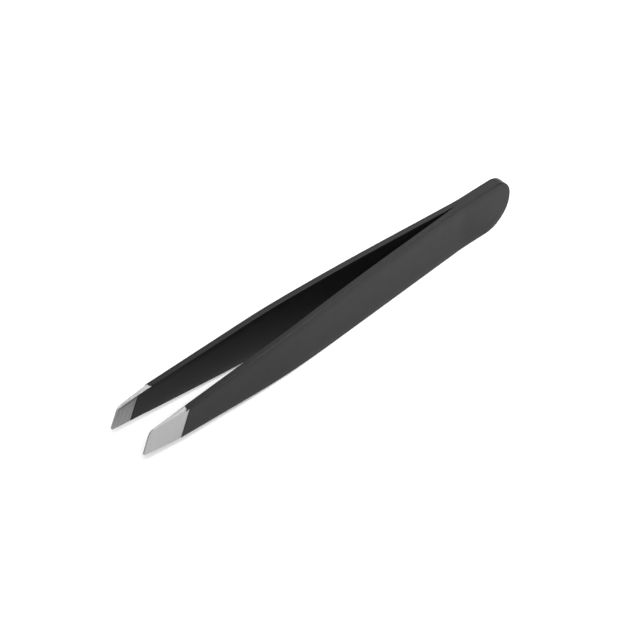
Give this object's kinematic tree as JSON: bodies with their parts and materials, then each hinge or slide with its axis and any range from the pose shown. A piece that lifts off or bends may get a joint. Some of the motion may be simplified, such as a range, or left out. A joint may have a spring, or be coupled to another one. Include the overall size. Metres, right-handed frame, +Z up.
{
  "type": "slant tweezers",
  "caption": "Slant-tip tweezers: black-coated sprung steel blades welded at a rounded heel, with bare ground steel tips that meet when squeezed.",
  "frame": {"origin": "under the middle of the object's box, on the surface that the tweezers lie on", "axes": "+X along the blades towards the welded heel, tips towards -X; +Y across from the left blade to the right blade; +Z up, along the blades' depth"},
  "size_m": [0.0953, 0.0104, 0.0107],
  "materials": {
    "ground_steel": "fine ground stainless steel",
    "black_coat": "satin black powder coat"
  },
  "bodies": {
    "heel": {"left_blade_land": "ground_steel", "right_blade_land": "ground_steel", "weld_nugget_1": "ground_steel", "weld_nugget_2": "ground_steel", "heel_coat": "black_coat"},
    "left_arm": {"left_blade_arm": "ground_steel", "left_arm_coat": "black_coat"},
    "right_arm": {"right_blade_arm": "ground_steel", "right_arm_coat": "black_coat"}
  },
  "joints": [
    {"name": "left_arm_flex", "type": "hinge", "parent": "heel", "child": "left_arm", "pos_m": [0.02209, -0.00146, 0.00535], "axis": [0, 0, -1], "range_deg": [0, 3.5], "stiffness_Nm_per_rad": 1.8},
    {"name": "right_arm_flex", "type": "hinge", "parent": "heel", "child": "right_arm", "pos_m": [0.02209, 0.00146, 0.00535], "axis": [0, 0, 1], "range_deg": [0, 3.5], "stiffness_Nm_per_rad": 1.8}
  ],
  "couplings": [
    {"joint": "right_arm_flex", "follows": "left_arm_flex", "ratio": 1}
  ]
}
